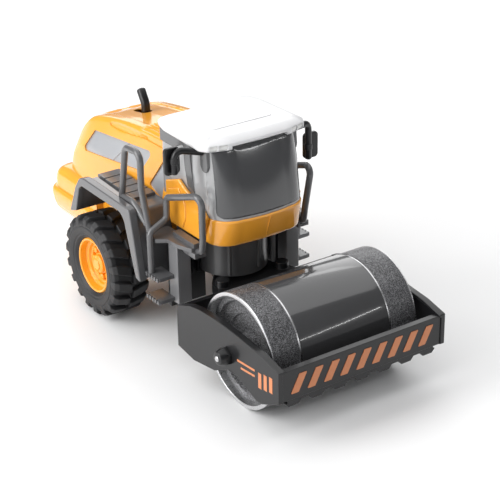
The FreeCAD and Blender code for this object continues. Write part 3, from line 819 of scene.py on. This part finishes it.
def make_hood():
    obj = piece("hood_shell", hood_skin(), YELLOW, smooth=40.0)
    for opening, bends in ((REAR_OPENING, 3.0), (FRONT_OPENING, [2.0, 2.0, 0, 0])):
        outline = rounded(opening, bends, 6)
        for _, side in SIDES:
            carve(obj, mirrored(side_slab(outline, 21, 60), side))
    slot_outline = rounded([(-50, -4.6), (-31, -4.6), (-31, 4.6), (-50, 4.6)], 4.2, 6)
    carve(obj, level_slab(slot_outline, 120, 170))
    shade(obj.data, 40)
    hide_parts("hood_top", "hood_sides")
    make_hood_panels()
    make_exhaust()


def grown(outline, margin):
    """The outline with every corner moved away from its middle."""
    centre = sum((Vector(corner) for corner in outline), Vector((0, 0))) / len(outline)
    return [tuple(Vector(corner) + (Vector(corner) - centre).normalized() * margin * 1.5)
            for corner in outline]


def panel_patch(outline, place):
    """A recessed panel that follows the hood's side behind an opening."""
    low_rear, high_rear, high_front, low_front = [Vector(corner) for corner in grown(outline, 1.3)]
    columns, rows = 40, 14
    rings = []
    for depth in (PANEL_DEPTH, PANEL_DEPTH + 1.4):
        grid = []
        for j in range(rows + 1):
            rear_end = low_rear.lerp(high_rear, j / rows)
            front_end = low_front.lerp(high_front, j / rows)
            for i in range(columns + 1):
                spot = rear_end.lerp(front_end, i / columns)
                x = min(spot.x, HOOD_FRONT - 0.2)
                grid.append(at(x, hood_side_y(x, spot.y) - depth, spot.y))
        rings.append(grid)
    width = columns + 1
    base = len(rings[0])
    faces = grid_faces(rows + 1, width) + grid_faces(rows + 1, width, base)
    rim = list(range(width)) + [j * width + columns for j in range(1, rows + 1)]
    rim += [rows * width + i for i in range(columns - 1, -1, -1)]
    rim += [j * width for j in range(rows - 1, 0, -1)]
    for k, spot in enumerate(rim):
        nxt = rim[(k + 1) % len(rim)]
        faces.append([spot, nxt, nxt + base, spot + base])
    pair(f"side_glass_{place}", (rings[0] + rings[1], faces), SILVER, smooth=40.0,
         nodes=[f"hood_panel_{place}"])


def hood_side_y(x, z):
    """Half width of the hood's outer face at a station and height."""
    ring = hood_ring(x, 0, 121)
    for (y0, z0), (y1, z1) in zip(ring, ring[1:]):
        if y0 > 0 and z0 <= z <= z1 and z1 > z0:
            return y0 + (y1 - y0) * (z - z0) / (z1 - z0)
    return 0.0


def make_hood_panels():
    panel_patch(REAR_OPENING, "rear")
    panel_patch(FRONT_OPENING, "front")
    foot, top = Vector((-29.7, 105.6)), Vector((-6.8, 128.6))
    steps = 12
    path = []
    for k in range(steps + 1):
        spot = foot.lerp(top, k / steps)
        path.append(Vector((spot.x, hood_side_y(spot.x, spot.y) - PANEL_DEPTH + 0.05, spot.y)))
    pair("side_glass_bead", swept(path, 0.5, 8), SILVER, smooth=60.0)


def make_exhaust():
    pipe = tube([(-36, 0, 128), (-36, 0, 143), (-41.8, 0, 152.2)], 3.5, 8, 24)
    piece("exhaust_tube", pipe, BLACK, smooth=50.0, nodes=["exhaust_pipe"])


# ---- fenders and steps
def make_fenders():
    outer = [(67.5, 52.2), (56.8, 104.6), (50.2, 106.2), (-9.6, 107.6), (-16.5, 105.8),
             (-23.5, 96.7), (-34.7, 72.6)]
    inner = [(-24.4, 76.3), (-17.8, 96.6), (-13.7, 99.9), (46.7, 99.3), (61.3, 53.5)]
    bends = [1, 8, 6, 14, 8, 12, 1, 1, 6, 4, 10, 1]
    deck_outer = [(66.3, 53.0), (55.2, 102.6), (49.6, 103.2), (-8.6, 104.6), (-15.5, 103),
                  (-22.2, 95.2), (-33, 73.2)]
    lip = side_slab(rounded(outer + inner, bends, 7), FENDER_OUT - 6.5, FENDER_OUT)
    arch = side_slab(rounded(deck_outer + inner, bends, 7), 38, FENDER_OUT - 4)
    pair("fender_lip", lip, GREY, bevel=(1.9, 5), nodes=["fender"])
    pair("fender_arch", arch, GREY, bevel=(0.6, 2), nodes=["fender"])
    make_foot_plate()


def make_foot_plate():
    slats = []
    for k in range(5):
        x = -12.5 + k * 10.6
        z = 104.3 - k * 0.25
        slats.append(level_slab([(x, 39.5), (x + 9.9, 39.5), (x + 9.9, 58), (x, 58)], z, z + 2.6))
    pair("foot_plate", joined(slats), GREY, bevel=(0.45, 2), nodes=["fender_tread"])
    wedge = level_slab([(-11, 59), (33, 61.5), (31, 65.8), (-11, 65.8)], 104.0, 105.6)
    pair("fender_wedge", wedge, LIGHT_GREY, bevel=(0.4, 2))


def make_rails():
    y = 63.0
    hoop = [(32, y, 105), (40.5, y, 147), (61, y, 148.5), (60.5, y, 122), (67, y, 100), (70, y, 90)]
    lower = [(32.5, y, 106.5), (48, y, 107), (66.5, y, 96)]
    door = [(100, 45.5, 84), (108.5, 44, 84), (110.2, 44.2, 96), (114.5, 47, 130), (72.5, 50, 115.5),
            (72, 50, 99), (72, 64.5, 92), (72, 64.5, 60.5)]
    rail = joined([tube(hoop, 2.5, 6.5), tube(lower, 2.5, 8)])
    pair("rail_rear", rail, GREY, smooth=60.0, nodes=["fender_rail"])
    pair("rail_door", tube(door, 2.5, 5.5), GREY, smooth=60.0, nodes=["door_rail"])


def make_steps():
    for name, _ in SIDES:
        softened(f"platform_{name}", GREY, 0.7)
        softened(f"step_column_{name}", COLUMN, 0.8)
        softened(f"steps_{name}", GREY, 0.5, segments=2)


# ---- cab
PANE_WALL = 1.8
PANE_EDGE = 0.12


def cab_plan(half, front_x, rear_x, inset):
    """Half-open plan outline from rear left round the front to rear right."""
    corner = 106.0
    half -= inset
    reach = front_x - inset - corner

    def spot(along, across):
        return corner + reach * along, half * across
    left = [(rear_x + inset, half)]
    left += [(rear_x + inset + (corner - rear_x - inset) * k / 24, half) for k in range(1, 24)]
    left += arc_through(spot(0, 1), spot(0.62, 0.88), spot(0.9, 0.53), 14)
    left += arc_through(spot(0.9, 0.53), spot(1, 0), spot(0.9, -0.53), 20)[1:]
    left += arc_through(spot(0.9, -0.53), spot(0.62, -0.88), spot(0, -1), 14)[1:]
    left += [(corner - (corner - rear_x - inset) * k / 24, -half) for k in range(1, 25)]
    return left


def cab_level(z):
    """Half width, front station and rear station of the cab's skin at a height."""
    share = (z - BELT_HIGH) / (ROOF_LOW - BELT_HIGH)
    half = 37.8 + 0.35 * share - 1.65 * share ** 2
    front = 127.6 - 5.5 * share - 6.6 * share ** 2
    rear = 50.0 - share
    return half, front, rear


def cab_skin(inset, wall):
    """Closed wall of the cab from the belt to the roof, moved in by inset."""
    levels = 16
    outer, inner = [], []
    for k in range(levels + 1):
        z = BELT_HIGH + (ROOF_LOW - BELT_HIGH) * k / levels
        half, front, rear = cab_level(z)
        outer.append([at(x, y, z) for x, y in cab_plan(half, front, rear, inset)])
        inner.append([at(x, y, z) for x, y in cab_plan(half, front, rear, inset + wall)])
    rings = outer + inner[::-1]
    count = len(rings[0])
    verts = [vert for ring in rings for vert in ring]
    faces = []
    for level in range(len(rings)):
        low, high = level * count, (level + 1) % len(rings) * count
        for k in range(count):
            nxt = (k + 1) % count
            faces.append([low + k, low + nxt, high + nxt, high + k])
    return verts, faces


def screen_cutter(grow):
    low, high = 35.8 + grow, 34.6 + grow
    outline = [(-low, 111.2 - grow), (low, 111.2 - grow), (high, 166), (-high, 166)]
    return cross_slab(rounded(outline, [4, 4, 0, 0], 8), 106.5, 140)


def side_cutter(grow, side):
    outline = [(95.0 - grow, 112.5 - grow), (108.6 + grow, 112.5 - grow), (106.2 + grow, 140),
               (104.0 + grow, 166), (87.5 - grow, 166), (88.0 - grow, 146), (91.0 - grow, 128)]
    return mirrored(side_slab(rounded(outline, [6, 2, 20, 0, 0, 20, 20], 6), 20, 50), side)


def quarter_cutter(grow, side):
    outline = [(56 - grow, 123), (82 + grow, 118), (80.5 + grow, 140), (78 + grow, 154 + grow),
               (66 - grow, 154 + grow)]
    return mirrored(side_slab(rounded(outline, [3, 3, 12, 4, 4], 6), 20, 50), side)


def keep_inside(name, material, inset, cutter_shape, node):
    """The part of the cab's wall inside a cutter, as a piece of its own."""
    obj = piece(name, cab_skin(inset, PANE_WALL), material)
    carve(obj, cutter_shape, "INTERSECT")
    bevelled(obj, PANE_EDGE, 2, 40)
    shade(obj.data, 35)
    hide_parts(node)


def make_cab_shell():
    wall = 2.4
    gap = 0.05
    shell = piece("cab_wall", cab_skin(0, wall), CAB_GREY_SHEEN)
    cutters = [screen_cutter(gap)]
    cutters += [side_cutter(gap, side) for _, side in SIDES]
    cutters += [quarter_cutter(gap, side) for _, side in SIDES]
    for shape in cutters:
        carve(shell, shape)
    bevelled(shell, PANE_EDGE, 2, 40)
    shade(shell.data, 35)
    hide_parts("cab_shell")
    keep_inside("screen", SCREEN, 0.1, screen_cutter(0), "windscreen")
    for name, side in SIDES:
        keep_inside(f"door_window_{name}", WINDOW_SHEEN, 0.1, side_cutter(0, side), f"side_window_{name}")
        keep_inside(f"quarter_window_{name}", WINDOW_SHEEN, 0.3, quarter_cutter(0, side), "quarter_windows")


def make_cab_trim():
    pillar_outline = [(77.5, ROOF_LOW), (87.3, ROOF_LOW), (87.6, 146), (90.3, 128), (95.8, 110.5),
                      (88.5, 110.5), (83.6, 122), (79.6, 138)]
    pillar = side_slab(rounded(pillar_outline, [0, 0, 25, 30, 0, 0, 25, 25], 6), 36.0, 38.35)
    pair("door_pillar", pillar, PILLAR, bevel=(0.5, 2))
    tab = side_slab(rounded([(100, ROOF_LOW), (100.5, 146), (103, 142.5), (108, 142.5), (109.5, 147),
                             (108.5, ROOF_LOW)], [0, 3, 3, 3, 3, 0], 6), 35.5, 38.2)
    pair("roof_tab", tab, PILLAR, bevel=(0.4, 2))
    header = side_slab([(HOOD_FRONT, 149), (66, 149), (76, 154), (96, 157.5), (96, ROOF_LOW),
                        (HOOD_FRONT, ROOF_LOW)], 35.0, 38.6)
    pair("cab_header", header, PILLAR, bevel=(0.5, 2))


def belt_ring(z, inset):
    share = (z - BELT_LOW) / (BELT_HIGH - BELT_LOW)
    front = 123.4 + 6.2 * share
    return [at(x, y, z) for x, y in cab_plan(38.0, front, HOOD_FRONT, inset)]


def make_cab_base():
    low, high = BELT_LOW, BELT_HIGH
    levels = [(low, 1.6), (low + 0.5, 0.7), (low + 1.4, 0.15), (low + 3, 0.0), ((low + high) / 2, 0.0),
              (high - 2.0, 0.0), (high - 0.9, 0.12), (high - 0.3, 0.5), (high, 1.2), (high, 2.8)]
    rings = [belt_ring(z, inset) for z, inset in levels]
    piece("cab_belt", extruded(rings), YELLOW, smooth=50.0, nodes=["cab_base"])
    seam_path = [Vector((123.45 + 6.2 * k / 10, 0, low + 1.5 + (high - low - 3) * k / 10))
                 for k in range(11)]
    piece("belt_seam", swept(seam_path, 0.45, 8), YELLOW, smooth=60.0)


def make_door_panels():
    outline = [(62, 90), (103, 90), (110.4, 110), (103, 116.6), (84, 122.6), (74.6, 128),
               (57, 121.7), (57, 108)]
    raised = [(66, 92.5), (80, 92.5), (84, 101), (84, 112), (76, 122), (62, 117), (62, 108)]
    pair("door_skin", side_slab(outline, 38, 41), YELLOW, bevel=(1.2, 4), nodes=["door_panel"])
    relief = side_slab(rounded(raised, 1.5, 4), 40, 42)
    pair("door_relief", relief, YELLOW, bevel=(0.9, 4))


def roof_ring(z, inset):
    half = 44.5 - inset
    left = [(46 + inset, 39.5 - inset), (60, 43 - inset), (108, half), (114.4 - inset, half - 4),
            (119.2 - inset, 25.2), (120 - inset, 0)]
    points = left + [(x, -y) for x, y in reversed(left[:-1])]
    bends = [5, 30, 5, 4, 20, 60, 20, 4, 5, 30, 5]
    return [at(x, y, z) for x, y in rounded(points, bends, 5)]


def make_roof():
    low, high = ROOF_LOW, ROOF_HIGH
    levels = [(low, 1.4), (low + 0.3, 0.8), (low + 1.0, 0.2), (low + 3.0, 0.0), (low + 4.4, 0.15),
              (low + 5.4, 1.0), (low + 7.2, 4.2), (high - 0.9, 6.6), (high - 0.5, 8.0)]
    rings = [roof_ring(z, inset) for z, inset in levels]
    obj = piece("roof_skin", extruded(rings), WHITE, smooth=40.0)
    carve(obj, box_shape(112, 130, -23.6, 23.6, low - 2, VISOR_Z))
    for cutter_shape in lamp_blocks(0.25):
        carve(obj, cutter_shape)
    bevelled(obj, 0.35, 2, 50)
    shade(obj.data, 40)
    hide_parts("roof")
    hatch = rounded([(58, -23), (98, -26), (98, 26), (58, 23)], 4, 5)
    piece("roof_hatch", level_slab(hatch, high - 1.2, high - 0.02), WHITE, bevel=(0.3, 2))
    beads = []
    for y in (-34, 34):
        bead = rounded([(58, y - 2.5), (104, y - 2.5), (104, y + 2.5), (58, y + 2.5)], 2, 4)
        beads.append(level_slab(bead, high - 4.0, high - 1.7))
    piece("roof_beads", joined(beads), WHITE, bevel=(0.4, 2))


def lamp_blocks(grow):
    """Cutting shapes of the two lamps at each front corner of the roof."""
    low, high = LAMP_Z
    shapes = []
    for _, side in SIDES:
        for start, end in ((27, 32.6), (33.8, 39)):
            outline = rounded([(start - grow, low - grow), (end + grow, low - grow),
                               (end + grow, high + grow), (start - grow, high + grow)], 0.9, 4)
            shapes.append(mirrored(cross_slab(outline, 109, 126), side))
    return shapes


def make_lamps():
    low, high = ROOF_LOW, ROOF_HIGH
    rings = [roof_ring(z, inset) for z, inset in [(low, 1.0), (low + 3, 0.5), (low + 5, 1.0), (high, 8)]]
    for index, shape in enumerate(lamp_blocks(0.0)):
        obj = piece(f"lamp_lens_{index}", extruded(rings), LENS)
        carve(obj, shape, "INTERSECT")
        bevelled(obj, 0.4, 3)
        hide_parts("roof_lamps")


def make_mirrors():
    for name, side in SIDES:
        head, stay = f"mirror_head_{name}", f"mirror_arm_{name}"
        near, far = sorted(abs(y) for y in extent(head, "y"))
        low_z, high_z = extent(head, "z")
        rear_x, front_x = extent(head, "x")
        radius, rim = 2.5, 1.2
        foot, top = extent(stay, "z")
        elbow = top - radius
        out = max(abs(y) for y in extent(stay, "y")) - radius
        x = extent(stay, "x")[0] + radius
        arm = tube([(103.5, 35.5, 156.5), (x, out, elbow), (x, out, foot + 1.3)], radius, 5.5, 20)
        piece(f"mirror_stay_{name}", mirrored(arm, side), BLACK, smooth=60.0, nodes=[stay])
        clip = collar(x, out, radius + 0.45, foot + 8, foot + 12)
        piece(f"mirror_clip_{name}", mirrored(clip, side), BLACK)
        plate = rounded([(near, low_z), (far, low_z), (far, high_z), (near, high_z)], 3, 6)
        piece(f"mirror_plate_{name}", mirrored(cross_slab(plate, rear_x, front_x), side), BLACK,
              bevel=(0.9, 3), nodes=[head])
        glass = rounded([(near + rim, low_z + rim), (far - rim, low_z + rim), (far - rim, high_z - rim),
                         (near + rim, high_z - rim)], 2.4, 6)
        piece(f"mirror_glass_{name}", mirrored(cross_slab(glass, rear_x, rear_x + 0.5), side), SILVER,
              slot="black_plastic")


def collar(x, y, radius, z0, z1):
    """Upright round collar with chamfered ends."""
    segments = 24
    rings = []
    for z, size in ((z0, radius - 0.3), (z0 + 0.3, radius), (z1 - 0.3, radius), (z1, radius - 0.3)):
        rings.append([at(x + size * math.cos(2 * math.pi * k / segments),
                         y + size * math.sin(2 * math.pi * k / segments), z) for k in range(segments)])
    return extruded(rings)


# ---- studio
def area_light(name, place, aim, size, power):
    light = bpy.data.lights.new(name, "AREA")
    light.shape = "RECTANGLE"
    light.size, light.size_y = size
    light.energy = power
    obj = placed(name, light)
    obj.location = place
    obj.rotation_euler = (Vector(aim) - Vector(place)).to_track_quat("-Z", "Y").to_euler()


def make_studio():
    floor_mat, nodes, links, shader = shader_nodes("studio_floor")
    pale, bright = (0.9, 0.9, 0.9), (0.93, 0.93, 0.93)
    tone = ramp(nodes, links, noise(nodes, links, 3.0), [(0.3, pale), (0.7, bright)])
    links.new(tone, shader.inputs["Base Color"])
    shader.inputs["Roughness"].default_value = 0.8
    size = 6.0
    mesh = bpy.data.meshes.new("floor")
    mesh.from_pydata([(-size, -size, 0), (size, -size, 0), (size, size, 0), (-size, size, 0)], [],
                     [(0, 1, 2, 3)])
    mesh.materials.append(floor_mat)
    floor = placed("floor", mesh)
    floor.location.z = -0.0002
    world = bpy.data.worlds.new("studio")
    world.use_nodes = True
    background = world.node_tree.nodes["Background"]
    background.inputs["Color"].default_value = (0.97, 0.98, 1.0, 1.0)
    background.inputs["Strength"].default_value = 0.24
    bpy.context.scene.world = world
    area_light("key", (-0.45, -1.35, 1.1), (0, 0, 0.08), (1.0, 0.8), 12)
    area_light("side", (-0.1, -1.9, 0.6), (0, 0, 0.08), (1.8, 1.0), 24)
    area_light("back", (-1.75, 1.2, 1.05), (0, 0, 0.1), (2.0, 1.2), 13)
    area_light("strip", (1.33, 0.76, 0.46), (0.12, 0, 0.04), (0.9, 0.02), 0.9)
    area_light("top", (-0.7, 0.2, 2.2), (-0.7, 0.2, 0), (3.8, 4.8), 70)
    bpy.context.scene.view_settings.view_transform = "Standard"


def make_camera():
    azimuth, elevation, roll = math.radians(55.86), math.radians(25.64), math.radians(-1.04)
    distance = 1.12545
    target = at(103.48, -0.07, 71.93)
    back = Vector((math.sin(azimuth) * math.cos(elevation), -math.cos(azimuth) * math.cos(elevation),
                   math.sin(elevation)))
    right = Vector((math.cos(azimuth), math.sin(azimuth), 0))
    up = back.cross(right)
    turned_right = right * math.cos(roll) + up * math.sin(roll)
    turned_up = up * math.cos(roll) - right * math.sin(roll)
    camera = bpy.data.cameras.new("camera")
    camera.sensor_width = 36.0
    camera.lens = 112.3
    camera.clip_end = 50
    obj = placed("camera", camera)
    axes = Matrix((turned_right, turned_up, back)).transposed()
    obj.matrix_world = Matrix.Translation(target + back * distance) @ axes.to_4x4()
    bpy.context.scene.camera = obj


make_studio()
make_camera()
make_drum()
make_wheels()
make_roller_frame()
make_counterweight()
make_chassis()
make_hood()
make_fenders()
make_rails()
make_steps()
make_cab_shell()
make_cab_trim()
make_cab_base()
make_door_panels()
make_roof()
make_lamps()
make_mirrors()
